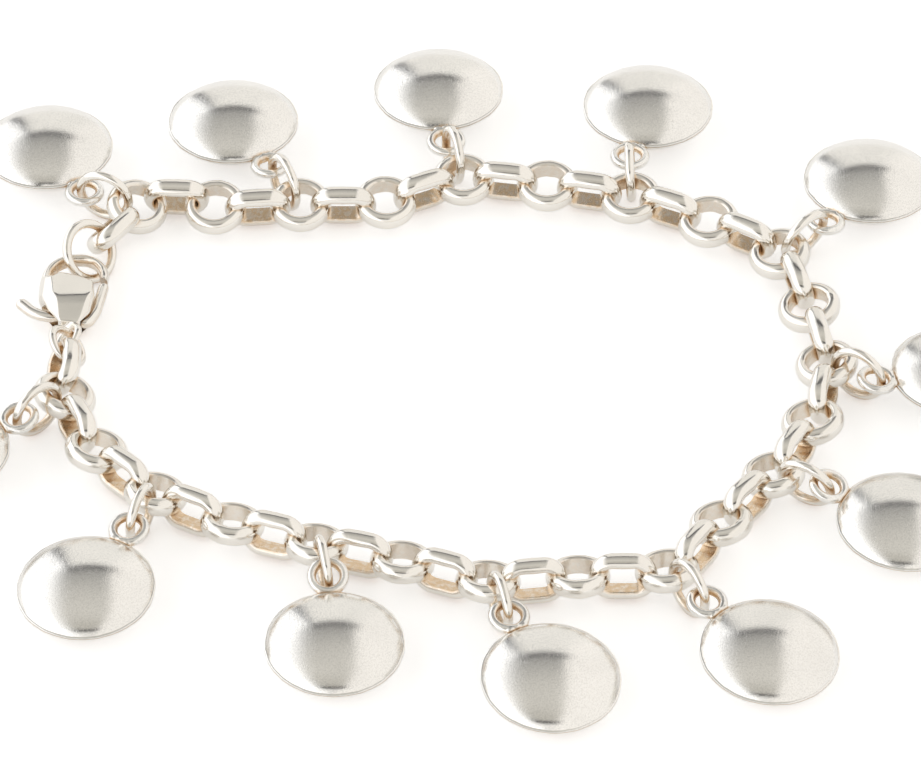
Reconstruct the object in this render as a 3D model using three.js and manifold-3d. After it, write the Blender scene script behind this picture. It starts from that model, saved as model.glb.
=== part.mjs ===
import * as THREE from 'three';
import { ConvexGeometry } from 'three/addons/geometries/ConvexGeometry.js';
import { mergeVertices } from 'three/addons/utils/BufferGeometryUtils.js';
import Module from 'manifold-3d';

const wasm = await Module();
wasm.setup();

// A charm bracelet that lies as a whole loop on the plane z = 0.
// Lengths are in millimetres, angles in degrees, +Z is up.

// Chain links, bent from half-round wire: the round ones lie, the oval ones stand
const WIRE_BREADTH = 1.65;
const WIRE_THICKNESS = 0.95;
const ROUND_LINK_DIAMETER = 5.4;
const OVAL_LINK_HEIGHT = 4.1;
const LINK_SEAT = 0.04;
const LINKS_PER_CHARM = 4;
const CHAIN_HEIGHT = 2.3;

// The chain's course on the table, clockwise from the claw to the ring at the clasp's tail
const CHAIN_ROUTE = [
  [-32.4, 14.4], [-30.2, 17.4], [-28.2, 20.6], [-24.9, 21.9], [-21.5, 20.5], [-14.1, 20.8],
  [-6.7, 21.1], [-3.3, 22.7], [0.1, 24.2], [7.5, 23.4], [14.7, 21.8], [21.4, 18.7],
  [27.5, 14.5], [29.9, 7.5], [31.2, 0.1], [29.8, -7.2], [26.3, -13.8], [21.8, -19.7],
  [17.3, -25.5], [9.9, -26.3], [2.4, -26.9], [-4.7, -24.6], [-11.8, -22.5], [-18.8, -20.0],
  [-25.3, -16.4], [-30.5, -11.1], [-33.5, -4.3], [-33.8, -0.6],
];

// How far the links are turned about the chain's course, with their outer edges raised
const CHAIN_TWIST = [
  { link: 1, roll: 42 },
  { link: 2, roll: 20 },
  { link: 3, roll: 16 },
  { link: 5, roll: 14 },
  { link: 12, roll: 8 },
  { link: 20, roll: 12 },
  { link: 44, roll: 14 },
  { link: 46, roll: 18 },
  { link: 48, roll: 46 },
];

// Charms: two round domes soldered at the rim, with an eye on the rim
const CHARM_DIAMETER = 11.5;
const CHARM_THICKNESS = 4.6;
const RIM_THICKNESS = 0.36;
const RIM_WIDTH = 0.14;
const EYE_DIAMETER = 3.5;
const EYE_WIRE = 0.8;
const EYE_SINK = 0.3;

// Jump rings between the chain and the charms' eyes
const RING_DIAMETER = 5.3;
const RING_WIRE = 0.8;
const RING_FLOOR_GAP = 0.05;
const RING_SLACK = 0.32;

// One row for each charm: how far its eye is swung from straight out of its link, how far
// out its ring lets it lie (0 nearest, 1 taut), the charm's further turn, its ring's lean,
// how far its eye end is tilted up, and how far its eye is bent up from its rim
const CHARMS = [
  { swing: 28.6, pull: 0.2, turn: -40.4, lean: -2, tilt: 1.5, bend: 0 },
  { swing: 26.7, pull: 0.84, turn: -0.3, lean: 0.3, tilt: 1.5, bend: 5 },
  { swing: 8.7, pull: 0.58, turn: -10.7, lean: 3, tilt: 1.8, bend: -6 },
  { swing: 18.8, pull: 0.64, turn: -13.5, lean: -3.8, tilt: 1.3, bend: 0 },
  { swing: 8, pull: 0.79, turn: 12.8, lean: 11.7, tilt: 2, bend: 5 },
  { swing: -30, pull: 0.11, turn: 43.4, lean: 0, tilt: 3, bend: 5 },
  { swing: 5.1, pull: 0.52, turn: -0.7, lean: 11.1, tilt: 4, bend: 14 },
  { swing: 9, pull: 0.79, turn: 9.5, lean: -1.4, tilt: 5.5, bend: 2 },
  { swing: 25.7, pull: 0.73, turn: 10, lean: -1.3, tilt: 7, bend: 0 },
  { swing: 30, pull: 0.39, turn: -6.9, lean: 1.9, tilt: 3.5, bend: 18 },
  { swing: 15.9, pull: 0.77, turn: -6.3, lean: -0.8, tilt: 4.3, bend: 6 },
  { swing: 30, pull: 0.33, turn: -15.5, lean: -1.3, tilt: 3, bend: 8 },
];

// Lobster clasp: a cast body with a channel between its two cheeks, a hook that reaches
// round from its spine, and a tail eye. It lies with its nose away along +Y, turned clockwise.
const CLASP_LENGTH = 10.6;
const CLASP_WIDTH = 5.8;
const HOOK_THICKNESS = 1.35;
const HOOK_BEVEL = 0.2;
const BELLY_THICKNESS = 3.4;
const BELLY_SHOULDER_THICKNESS = 2.7;
const CHEEK_EDGE = 0.15;
const TAIL_EYE_DIAMETER = 3.1;
const TAIL_EYE_WIRE = 0.7;
const TAIL_EYE_LEAN = 44;
const CLASP_NOSE = { x: -33.23, y: 14.59 };
const CLASP_TURN = 2;

// Its outline, as shares of half the width and of the length from the tail eye's middle
const CLASP_OUTLINE = [
  { across: -0.3, along: 0.13 }, { across: -0.62, along: 0.22 }, { across: -0.88, along: 0.38 },
  { across: -1.0, along: 0.55 }, { across: -0.99, along: 0.72 }, { across: -0.82, along: 0.87 },
  { across: -0.5, along: 0.95 }, { across: 0.0, along: 1.0 }, { across: 0.45, along: 0.985 },
  { across: 0.8, along: 0.9 }, { across: 0.98, along: 0.78 }, { across: 1.0, along: 0.68 },
  { across: 0.74, along: 0.67 }, { across: 0.72, along: 0.78 }, { across: 0.48, along: 0.9 },
  { across: 0.0, along: 0.93 }, { across: -0.43, along: 0.895 }, { across: -0.66, along: 0.79 },
  { across: -0.7, along: 0.72 }, { across: -0.55, along: 0.7 }, { across: 0.0, along: 0.67 },
  { across: 0.56, along: 0.61 }, { across: 0.64, along: 0.42 }, { across: 0.62, along: 0.24 },
  { across: 0.45, along: 0.12 },
];

// The belly's ridge, its lower shoulder towards the hook and its foot, in the same shares
const BELLY_RIDGE = [
  { across: -0.42, along: 0.33 }, { across: -0.56, along: 0.38 }, { across: 0.62, along: 0.4 },
  { across: 0.5, along: 0.35 },
];
const BELLY_SHOULDER = [
  { across: -0.68, along: 0.6 }, { across: -0.4, along: 0.67 }, { across: 0.1, along: 0.64 },
  { across: 0.6, along: 0.57 },
];
const BELLY_FOOT = [
  { across: -0.9, along: 0.66 }, { across: -0.55, along: 0.7 }, { across: 0.0, along: 0.67 },
  { across: 0.56, along: 0.61 }, { across: 0.68, along: 0.42 }, { across: 0.58, along: 0.24 },
  { across: 0.3, along: 0.12 }, { across: -0.3, along: 0.12 }, { across: -0.68, along: 0.27 },
  { across: -0.92, along: 0.42 },
];

// The clasp's lever: a gate on the right and a thumb prong on the left of its pivot
const LEVER_THICKNESS = 1.0;
const GATE_WIDTH = 1.0;
const PRONG_WIDTH = 1.0;
const HUB_DIAMETER = 2.0;
const PIN_DIAMETER = 0.8;
const LEVER_OPENING = 20;
const CLEARANCE = 0.2;
const LEVER_PIVOT = { across: 0.06, along: 0.27 };
const GATE_LINE = [
  { across: 0.06, along: 0.27 }, { across: 0.44, along: 0.19 }, { across: 0.65, along: 0.27 },
  { across: 0.79, along: 0.45 }, { across: 0.88, along: 0.62 },
];
const PRONG_LINE = [
  { across: 0.06, along: 0.27 }, { across: -0.35, along: 0.255 }, { across: -0.72, along: 0.255 },
  { across: -1.12, along: 0.3 }, { across: -1.54, along: 0.41 },
];

// The loose rings at the clasp
const CLAW_RING_DIAMETER = 5.65;
const CLAW_RING_PLACE = { across: 0.37, along: 1.006, height: 2.32 };
const CLAW_RING_LEAN = 54;
const CLAW_RING_TURN = 52.8;
const TAIL_RING_DIAMETER = 4.2;
const TAIL_RING_WIRE = 0.7;

// Facets
const LINK_SIDES = 10;
const CHARM_SIDES = 16;
const DOME_STEPS = 3;
const RING_SIDES = 12;
const WIRE_SIDES = 5;
const HUB_SIDES = 16;

const radians = THREE.MathUtils.degToRad;

function silver(colour, roughness) {
  return new THREE.MeshStandardMaterial({ color: colour, roughness, metalness: 1 });
}

const polishedSilver = silver(0xe9e6df, 0.16);
const satinSilver = silver(0xe6e3dc, 0.26);

// Merges a geometry's shared corners and makes it a solid
function solidOf(geometry) {
  const bare = geometry.clone();
  bare.deleteAttribute('normal');
  bare.deleteAttribute('uv');
  const merged = mergeVertices(bare, 1e-4);
  return new wasm.Manifold(new wasm.Mesh({
    numProp: 3,
    vertProperties: new Float32Array(merged.attributes.position.array),
    triVerts: new Uint32Array(merged.index.array),
  }));
}

function geometryOf(solid) {
  const mesh = solid.getMesh();
  const geometry = new THREE.BufferGeometry();
  geometry.setAttribute('position', new THREE.BufferAttribute(new Float32Array(mesh.vertProperties), 3));
  geometry.setIndex(new THREE.BufferAttribute(new Uint32Array(mesh.triVerts), 1));
  geometry.computeVertexNormals();
  return geometry;
}

function named(name, solid, material) {
  const mesh = new THREE.Mesh(geometryOf(solid), material.clone());
  mesh.name = name;
  return mesh;
}

// A closed profile turned about Z, with a flat of the many-sided ring across X
function turned(profile, sides) {
  const geometry = new THREE.LatheGeometry([...profile, profile[0]], sides, Math.PI / sides);
  return geometry.rotateX(Math.PI / 2);
}

// Pulls the two halves of a ring apart along X, which makes it an oval
function stretched(geometry, length) {
  const position = geometry.attributes.position;
  for (let i = 0; i < position.count; i += 1) {
    const x = position.getX(i);
    position.setX(i, x + Math.sign(x) * length / 2);
  }
  return geometry;
}

// The half-round section of the link wire, flat on the inside of the link
const FLAT_HALF = 0.82 * WIRE_BREADTH / 2;
const SHOULDER = 0.45 * WIRE_THICKNESS;

function wireSection(outerDiameter) {
  const outside = outerDiameter / 2;
  const inside = outside - WIRE_THICKNESS;
  return [
    new THREE.Vector2(inside, -FLAT_HALF),
    new THREE.Vector2(inside + SHOULDER, -WIRE_BREADTH / 2),
    new THREE.Vector2(outside, 0),
    new THREE.Vector2(inside + SHOULDER, WIRE_BREADTH / 2),
    new THREE.Vector2(inside, FLAT_HALF),
  ];
}

function link(outerDiameter, length) {
  return stretched(turned(wireSection(outerDiameter), LINK_SIDES), length - outerDiameter);
}

function ringSolid(diameter, wire) {
  return solidOf(new THREE.TorusGeometry((diameter - wire) / 2, wire / 2, WIRE_SIDES, RING_SIDES));
}

// How far from a ring's middle a link's flat inside sits where it passes through the ring
function hangingReach(ringDiameter, ringWire) {
  const inside = ringDiameter / 2 - ringWire - RING_SLACK;
  return Math.sqrt(inside ** 2 - (WIRE_BREADTH / 2) ** 2);
}

// The tail ring lies behind the clasp and stands in the last place of the chain
const TAIL_STEP = (TAIL_RING_DIAMETER - TAIL_RING_WIRE) / 2;
const CLASP_TAIL = new THREE.Vector2(
  CLASP_NOSE.x - CLASP_LENGTH * Math.sin(radians(CLASP_TURN)),
  CLASP_NOSE.y - CLASP_LENGTH * Math.cos(radians(CLASP_TURN)));
const TAIL_PLACE = [CLASP_TAIL.x, CLASP_TAIL.y - TAIL_STEP];
const LINK_PLACES = 2 * Math.round(LINKS_PER_CHARM * CHARMS.length / 2);

// The chain's course, its pitch, and the oval link's length that makes the links meet
const course = new THREE.CatmullRomCurve3(
  [...CHAIN_ROUTE, TAIL_PLACE].map(([x, y]) => new THREE.Vector3(x, y, CHAIN_HEIGHT)), false, 'centripetal');
course.arcLengthDivisions = 2000;
const COURSE_LENGTH = course.getLength();
const ROUND_LINK_INSIDE = ROUND_LINK_DIAMETER / 2 - WIRE_THICKNESS;
const TAIL_HANG = hangingReach(TAIL_RING_DIAMETER, TAIL_RING_WIRE);
const LINK_PITCH = (COURSE_LENGTH + LINK_SEAT + ROUND_LINK_INSIDE - TAIL_HANG) / LINK_PLACES;
const OVAL_LINK_LENGTH = 2 * (LINK_PITCH - LINK_SEAT - ROUND_LINK_INSIDE + WIRE_THICKNESS);

function rollAt(index) {
  const next = Math.max(1, CHAIN_TWIST.findIndex((row) => row.link >= index));
  const [a, b] = [CHAIN_TWIST[next - 1], CHAIN_TWIST[next]];
  return radians(a.roll + (b.roll - a.roll) * (index - a.link) / (b.link - a.link));
}

// The place of a link on the course: its middle, the course's heading there, and its roll
function station(index) {
  const share = Math.min(1, index * LINK_PITCH / COURSE_LENGTH);
  const along = course.getTangentAt(share);
  return { middle: course.getPointAt(share), heading: Math.atan2(along.y, along.x), roll: rollAt(index) };
}

function stationMatrix({ middle, heading, roll }) {
  const turn = new THREE.Matrix4().makeRotationZ(heading);
  const lean = new THREE.Matrix4().makeRotationX(roll);
  return new THREE.Matrix4().makeTranslation(middle).multiply(turn).multiply(lean);
}

// The odd places hold standing links and the even ones lying links; the last is the tail ring's
function chainSolid() {
  const lying = solidOf(link(ROUND_LINK_DIAMETER, ROUND_LINK_DIAMETER));
  const standing = solidOf(link(OVAL_LINK_HEIGHT, OVAL_LINK_LENGTH).rotateX(Math.PI / 2));
  const links = [];
  for (let i = 1; i < LINK_PLACES; i += 1) {
    const form = i % 2 === 0 ? lying : standing;
    links.push(form.transform(stationMatrix(station(i)).toArray()));
  }
  return wasm.Manifold.union(links);
}

// The radius of the sphere that a charm's dome is a part of
const DOME_RADIUS = CHARM_DIAMETER / 2 - RIM_WIDTH;
const DOME_RISE = (CHARM_THICKNESS - RIM_THICKNESS) / 2;
const DOME_SPHERE = (DOME_RADIUS ** 2 + DOME_RISE ** 2) / (2 * DOME_RISE);
const SOLDER_REACH = CHARM_DIAMETER / 2 - EYE_SINK;

// A charm about its own middle, with its eye out along X
function charmSolid(bend) {
  const spread = Math.asin(DOME_RADIUS / DOME_SPHERE);
  const upper = [new THREE.Vector2(CHARM_DIAMETER / 2, RIM_THICKNESS / 2)];
  for (let i = DOME_STEPS; i > 0; i -= 1) {
    const angle = spread * i / DOME_STEPS;
    const drop = DOME_SPHERE * (1 - Math.cos(angle));
    upper.push(new THREE.Vector2(DOME_SPHERE * Math.sin(angle), CHARM_THICKNESS / 2 - drop));
  }
  upper.push(new THREE.Vector2(0, CHARM_THICKNESS / 2));
  const lower = upper.map((point) => new THREE.Vector2(point.x, -point.y)).reverse();
  const lentil = new THREE.LatheGeometry([...lower, ...upper], CHARM_SIDES).rotateX(Math.PI / 2);
  const eye = ringSolid(EYE_DIAMETER, EYE_WIRE).translate([EYE_DIAMETER / 2, 0, 0]);
  return solidOf(lentil).add(eye.rotate([0, -bend, 0]).translate([SOLDER_REACH, 0, 0]));
}

const RING_PLACE = ROUND_LINK_INSIDE + hangingReach(RING_DIAMETER, RING_WIRE);
const RING_HEIGHT = RING_DIAMETER / 2 + RING_FLOOR_GAP;

// How a charm lies on its lower dome: the height of its middle, how far that is from its
// eye's, and the eye's place, which is clear of the link and round the ring
function charmLie({ tilt, bend, pull }) {
  const rise = radians(tilt);
  const eyeRise = radians(tilt + bend);
  const height = DOME_SPHERE - (DOME_SPHERE - CHARM_THICKNESS / 2) * Math.cos(rise);
  const reach = SOLDER_REACH * Math.cos(rise) + (EYE_DIAMETER / 2) * Math.cos(eyeRise);
  const wireHeight = height + SOLDER_REACH * Math.sin(rise) + (EYE_DIAMETER - EYE_WIRE / 2) * Math.sin(eyeRise);
  const nearest = Math.max(
    (ROUND_LINK_DIAMETER + EYE_DIAMETER) / 2,
    RING_PLACE + (RING_DIAMETER - EYE_DIAMETER) / 2 + EYE_WIRE);
  const ringReach = Math.sqrt((RING_DIAMETER / 2 - RING_WIRE) ** 2 - (wireHeight - RING_HEIGHT) ** 2);
  const wireReach = (EYE_DIAMETER - EYE_WIRE) / 2 * Math.cos(eyeRise) - EYE_WIRE / 2;
  return { height, reach, eyePlace: THREE.MathUtils.lerp(nearest, RING_PLACE + ringReach + wireReach, pull) };
}

function addCharms(group) {
  const jumpRing = ringSolid(RING_DIAMETER, RING_WIRE);
  CHARMS.forEach((row, i) => {
    const number = String(i + 1).padStart(2, '0');
    const { middle, heading } = station(2 * Math.round(LINKS_PER_CHARM * i / 2) + 2);
    const bearing = heading + Math.PI / 2 + radians(row.swing);

    const holder = new THREE.Group();
    holder.position.set(middle.x, middle.y, 0);
    holder.rotation.z = bearing;
    const ring = named(`charm_ring_${number}`, jumpRing, polishedSilver);
    ring.position.set(RING_PLACE, 0, RING_HEIGHT);
    ring.rotation.x = Math.PI / 2 + radians(row.lean);
    holder.add(ring);

    const { height, reach, eyePlace } = charmLie(row);
    const eye = new THREE.Group();
    eye.position.x = eyePlace;
    eye.rotation.z = radians(row.turn);
    const body = named(`charm_${number}`, charmSolid(row.bend), satinSilver);
    body.position.set(reach, 0, height);
    body.rotation.set(0, -radians(row.tilt), Math.PI, 'ZYX');
    eye.add(body);
    holder.add(eye);
    group.add(holder);
  });
}

function claspPoint({ across, along }) {
  return new THREE.Vector2(across * CLASP_WIDTH / 2, along * CLASP_LENGTH);
}

// A flat plate about the clasp's middle plane, with bevelled edges where asked
function plate(outline, thickness, bevel = 0) {
  const geometry = new THREE.ExtrudeGeometry(new THREE.Shape(outline), {
    depth: thickness - 2 * bevel,
    bevelEnabled: bevel > 0,
    bevelThickness: bevel,
    bevelSize: bevel,
    bevelOffset: -bevel,
    bevelSegments: 1,
    curveSegments: 6,
  });
  return solidOf(geometry.translate(0, 0, bevel - thickness / 2));
}

// A strip of even width along a line of points, with a rounded far end
function strip(line, width, thickness) {
  const points = new THREE.SplineCurve(line.map(claspPoint)).getPoints(2 * line.length);
  const left = [];
  const right = [];
  points.forEach((point, i) => {
    const before = points[Math.max(0, i - 1)];
    const after = points[Math.min(points.length - 1, i + 1)];
    const side = after.clone().sub(before).normalize().rotateAround(new THREE.Vector2(), Math.PI / 2);
    left.push(point.clone().addScaledVector(side, width / 2));
    right.unshift(point.clone().addScaledVector(side, -width / 2));
  });
  const end = points.at(-1);
  const tip = end.clone().addScaledVector(end.clone().sub(points.at(-2)).normalize(), width / 3);
  return plate([...left, tip, ...right].reverse(), thickness);
}

function roundBar(diameter, length) {
  const radius = diameter / 2;
  return solidOf(new THREE.CylinderGeometry(radius, radius, length, HUB_SIDES).rotateX(Math.PI / 2));
}

function cornersOf(solid) {
  const places = solid.getMesh().vertProperties;
  return Array.from({ length: places.length / 3 }, (_, i) => new THREE.Vector3().fromArray(places, 3 * i));
}

function leverArm(line, width, thickness) {
  const pivot = claspPoint(LEVER_PIVOT);
  return strip(line, width, thickness).translate([-pivot.x, -pivot.y, 0]);
}

// The lever about its pivot
function leverSolid() {
  const gate = leverArm(GATE_LINE, GATE_WIDTH, LEVER_THICKNESS);
  const prong = leverArm(PRONG_LINE, PRONG_WIDTH, LEVER_THICKNESS);
  return gate.add(prong).add(roundBar(HUB_DIAMETER, LEVER_THICKNESS));
}

const CHANNEL_WIDTH = LEVER_THICKNESS + 2 * CLEARANCE;
const BELLY_FOOT_THICKNESS = CHANNEL_WIDTH + 2 * CHEEK_EDGE;

// The room for the lever through its whole swing: one even pocket for each of its arms
function leverRoom(depth) {
  const pivot = claspPoint(LEVER_PIVOT);
  const hub = roundBar(HUB_DIAMETER + 2 * CLEARANCE, depth);
  const [gateRoom, prongRoom] = [[GATE_LINE, GATE_WIDTH], [PRONG_LINE, PRONG_WIDTH]].map(([line, width]) => {
    const arm = leverArm(line, width + 2 * CLEARANCE, depth);
    const swung = [0, 0.5, 1].map((share) => arm.rotate([0, 0, LEVER_OPENING * share]));
    return solidOf(new ConvexGeometry([hub, ...swung].flatMap(cornersOf)));
  });
  return gateRoom.add(prongRoom).translate([pivot.x, pivot.y, 0]);
}

function bellySolid() {
  const corners = [];
  const levels = [
    [BELLY_RIDGE, BELLY_THICKNESS], [BELLY_SHOULDER, BELLY_SHOULDER_THICKNESS],
    [BELLY_FOOT, BELLY_FOOT_THICKNESS],
  ];
  for (const side of [-1, 1]) {
    for (const [table, thickness] of levels) {
      table.map(claspPoint).forEach(({ x, y }) => corners.push(new THREE.Vector3(x, y, side * thickness / 2)));
    }
  }
  return solidOf(new ConvexGeometry(corners));
}

function claspBodySolid() {
  const pivot = claspPoint(LEVER_PIVOT);
  const hook = plate(CLASP_OUTLINE.map(claspPoint).reverse(), HOOK_THICKNESS, HOOK_BEVEL);
  const cheeks = bellySolid().subtract(leverRoom(CHANNEL_WIDTH));
  const tailEye = ringSolid(TAIL_EYE_DIAMETER, TAIL_EYE_WIRE).rotate([0, -TAIL_EYE_LEAN, 0]);
  const pin = roundBar(PIN_DIAMETER, BELLY_FOOT_THICKNESS).translate([pivot.x, pivot.y, 0]);
  return hook.subtract(leverRoom(BELLY_THICKNESS)).add(cheeks).add(pin).add(tailEye);
}

function addClasp(group) {
  const tailRing = named('clasp_tail_ring', ringSolid(TAIL_RING_DIAMETER, TAIL_RING_WIRE), polishedSilver);
  tailRing.position.set(...TAIL_PLACE, CHAIN_HEIGHT);
  tailRing.rotation.y = rollAt(LINK_PLACES);
  group.add(tailRing);

  const clasp = new THREE.Group();
  clasp.position.set(CLASP_TAIL.x, CLASP_TAIL.y, BELLY_THICKNESS / 2);
  clasp.rotation.z = -radians(CLASP_TURN);
  clasp.add(named('clasp_body', claspBodySolid(), polishedSilver));

  const pivot = claspPoint(LEVER_PIVOT);
  const bore = roundBar(PIN_DIAMETER + 2 * CLEARANCE, BELLY_THICKNESS);
  const lever = named('clasp_lever', leverSolid().subtract(bore), polishedSilver);
  lever.position.set(pivot.x, pivot.y, 0);
  clasp.add(lever);

  const place = claspPoint(CLAW_RING_PLACE);
  const clawRing = named('clasp_ring', ringSolid(CLAW_RING_DIAMETER, RING_WIRE), polishedSilver);
  clawRing.position.set(place.x, place.y, CLAW_RING_PLACE.height - BELLY_THICKNESS / 2);
  clawRing.rotation.set(radians(CLAW_RING_LEAN), 0, radians(CLAW_RING_TURN), 'ZYX');
  clasp.add(clawRing);
  group.add(clasp);
}

// The pieces as they lie, moved so that the origin is below the middle of the whole loop
const loop = new THREE.Group();
loop.add(named('chain', chainSolid(), polishedSilver));
addCharms(loop);
addClasp(loop);
loop.updateMatrixWorld(true);
const extent = new THREE.Box3().setFromObject(loop, true);
const middle = extent.getCenter(new THREE.Vector3());
loop.position.set(-middle.x, -middle.y, -extent.min.z);

const bracelet = new THREE.Group();
bracelet.add(loop);

export default bracelet;
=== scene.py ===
import math

import bmesh
import bpy
from mathutils import Matrix, Vector


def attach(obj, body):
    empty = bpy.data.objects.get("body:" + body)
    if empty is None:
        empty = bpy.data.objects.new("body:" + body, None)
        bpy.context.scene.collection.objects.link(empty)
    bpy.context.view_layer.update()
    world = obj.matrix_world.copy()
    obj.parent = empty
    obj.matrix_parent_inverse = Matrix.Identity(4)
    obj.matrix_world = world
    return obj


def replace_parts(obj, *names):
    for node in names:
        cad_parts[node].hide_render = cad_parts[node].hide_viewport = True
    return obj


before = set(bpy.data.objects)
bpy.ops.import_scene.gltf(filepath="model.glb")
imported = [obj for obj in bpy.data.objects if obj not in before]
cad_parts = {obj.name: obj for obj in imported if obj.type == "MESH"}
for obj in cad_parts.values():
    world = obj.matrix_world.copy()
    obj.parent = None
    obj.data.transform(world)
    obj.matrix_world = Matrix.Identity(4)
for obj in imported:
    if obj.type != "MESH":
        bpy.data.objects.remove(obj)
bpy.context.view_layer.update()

# A silver charm bracelet lying as a whole loop. Pieces are shaped in millimetres
# about their own middles, and put in place in metres.
MM = 0.001
SMOOTH_ANGLE = 38
JOIN_DISTANCE = 1e-4
LOOP_SHIFT = (0.664417, 0.909856, 0.0)

# Chain
WIRE_BREADTH = 1.65
WIRE_THICKNESS = 0.95
WIRE_CROWN = 0.68 * WIRE_THICKNESS
ROUND_LINK_DIAMETER = 5.4
OVAL_LINK_HEIGHT = 4.1
LINK_SEAT = 0.04
LINKS_PER_CHARM = 4
CHAIN_HEIGHT = 2.3
CHAIN_ROUTE = [
    (-32.4, 14.4), (-30.2, 17.4), (-28.2, 20.6), (-24.9, 21.9), (-21.5, 20.5), (-14.1, 20.8),
    (-6.7, 21.1), (-3.3, 22.7), (0.1, 24.2), (7.5, 23.4), (14.7, 21.8), (21.4, 18.7),
    (27.5, 14.5), (29.9, 7.5), (31.2, 0.1), (29.8, -7.2), (26.3, -13.8), (21.8, -19.7),
    (17.3, -25.5), (9.9, -26.3), (2.4, -26.9), (-4.7, -24.6), (-11.8, -22.5), (-18.8, -20.0),
    (-25.3, -16.4), (-30.5, -11.1), (-33.5, -4.3), (-33.8, -0.6),
]
CHAIN_TWIST = [(1, 42), (2, 20), (3, 16), (5, 14), (12, 8), (20, 12), (44, 14), (46, 18), (48, 46)]

# Charms and their rings
CHARM_DIAMETER = 11.5
CHARM_THICKNESS = 4.6
RIM_THICKNESS = 0.36
RIM_WIDTH = 0.14
EYE_DIAMETER = 3.5
EYE_WIRE = 0.8
EYE_SINK = 0.3
EYE_VOXEL = 0.055
# Drops of solder at the foot of the eye: across, up, size
SOLDER_DROPS = [(0.62, 0.14, 0.42), (-0.55, 0.1, 0.46), (0.1, -0.2, 0.5), (0.05, 0.24, 0.34)]
# The hand-filed rim: how many waves go round it, their start and their share of the depth
RIM_WAVES = [(7, 1, 1.0), (17, 0, 1.0), (31, 2, 0.8)]
RIM_WAVE_DEPTH = 0.010
RING_DIAMETER = 5.3
RING_WIRE = 0.8
RING_FLOOR_GAP = 0.05
RING_SLACK = 0.32
# Where the ring's closed joint lies: at the first charm, and how far on at each next one
RING_JOINT_START = 40
RING_JOINT_STEP = 67
# swing of the eye, how far its ring lets it lie out, further turn, lean of the ring,
# tilt of the charm, bend of its eye
CHARMS = [
    (28.6, 0.2, -40.4, -2, 1.5, 0), (26.7, 0.84, -0.3, 0.3, 1.5, 5), (8.7, 0.58, -10.7, 3, 1.8, -6),
    (18.8, 0.64, -13.5, -3.8, 1.3, 0), (8, 0.79, 12.8, 11.7, 2, 5), (-30, 0.11, 43.4, 0, 3, 5),
    (5.1, 0.52, -0.7, 11.1, 4, 14), (9, 0.79, 9.5, -1.4, 5.5, 2), (25.7, 0.73, 10, -1.3, 7, 0),
    (30, 0.39, -6.9, 1.9, 3.5, 18), (15.9, 0.77, -6.3, -0.8, 4.3, 6), (30, 0.33, -15.5, -1.3, 3, 8),
]

# Clasp
CLASP_LENGTH = 10.6
CLASP_WIDTH = 5.8
BELLY_THICKNESS = 3.4
TAIL_EYE_DIAMETER = 3.1
TAIL_EYE_WIRE = 0.7
TAIL_EYE_LEAN = 44
CLASP_NOSE = (-33.23, 14.59)
CLASP_TURN = 2
LEVER_THICKNESS = 1.0
HUB_DIAMETER = 2.0
PIN_DIAMETER = 0.8
LEVER_OPENING = 20
CLEARANCE = 0.2
LEVER_PIVOT = (0.06, 0.27)
LEVER_TIP_THICKNESS = 0.97 * LEVER_THICKNESS
CAST_VOXEL = 0.075
CAST_SMOOTHING = 30
CLAW_RING_DIAMETER = 5.65
CLAW_RING_PLACE = (0.37, 1.006, 2.32)
CLAW_RING_LEAN = 54
CLAW_RING_TURN = 52.8
TAIL_RING_DIAMETER = 4.2
TAIL_RING_WIRE = 0.7

# Rows of (across, along, width, thickness): shares of half the width and of the length,
# then millimetres, from the belly's left side round the nose to the hook's tip
HOOK_ROWS = [
    (-0.60, 0.33, 1.30, 1.30), (-0.78, 0.44, 1.25, 1.35), (-0.84, 0.56, 1.10, 1.35),
    (-0.84, 0.70, 0.98, 1.35), (-0.73, 0.82, 0.94, 1.35), (-0.46, 0.91, 0.92, 1.35),
    (0.0, 0.955, 0.90, 1.35), (0.45, 0.935, 0.88, 1.35), (0.74, 0.855, 0.88, 1.35),
    (0.86, 0.77, 0.86, 1.30), (0.875, 0.69, 0.78, 1.20),
]
GATE_ROWS = [
    (*LEVER_PIVOT, 1.0, 0.96), (0.44, 0.19, 1.0, 0.96), (0.65, 0.27, 1.0, 0.96),
    (0.79, 0.45, 0.98, 0.96), (0.88, 0.62, 0.92, 0.96),
]
PRONG_ROWS = [
    (*LEVER_PIVOT, 0.95, 0.9), (-0.35, 0.255, 0.95, 0.9), (-0.72, 0.255, 1.0, 0.9),
    (-1.12, 0.3, 1.05, 0.9), (-1.48, 0.395, 1.1, 0.9),
]
# The belly's levels, each with its thickness: the ridge, the slope towards the tail, the
# shoulder towards the hook and the outline of the foot
BELLY_LEVELS = [
    (3.4, [(-0.42, 0.33), (-0.56, 0.38), (0.62, 0.4), (0.5, 0.35)]),
    (3.05, [(-0.38, 0.27), (0.45, 0.275)]),
    (2.7, [(-0.68, 0.6), (-0.4, 0.67), (0.1, 0.64), (0.6, 0.57)]),
    (1.7, [(-0.9, 0.66), (-0.55, 0.7), (0, 0.67), (0.56, 0.61), (0.68, 0.42), (0.58, 0.24),
           (0.3, 0.12), (-0.3, 0.12), (-0.68, 0.27), (-0.92, 0.42)]),
]

# Metal colours
POLISHED_SILVER = (0.93, 0.90, 0.845)
SATIN_SILVER = (0.95, 0.935, 0.90)
GREY_SAND = (0.30, 0.29, 0.27)
# painted shade: a warm shade and a darker one, painted into inner faces and narrow places
PAINTED_WARM_SHADE = (0.74, 0.51, 0.28)
PAINTED_DARK_SHADE = (0.30, 0.18, 0.10)

# The photograph's view, from the front and above
CAMERA_ELEVATION = 42
CAMERA_DISTANCE = 0.62
CAMERA_LENS = 283.7


# ---------------------------------------------------------------- hand tools

def let_go():
    if bpy.context.object and bpy.context.object.mode != "OBJECT":
        bpy.ops.object.mode_set(mode="OBJECT")
    bpy.ops.object.select_all(action="DESELECT")


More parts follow.
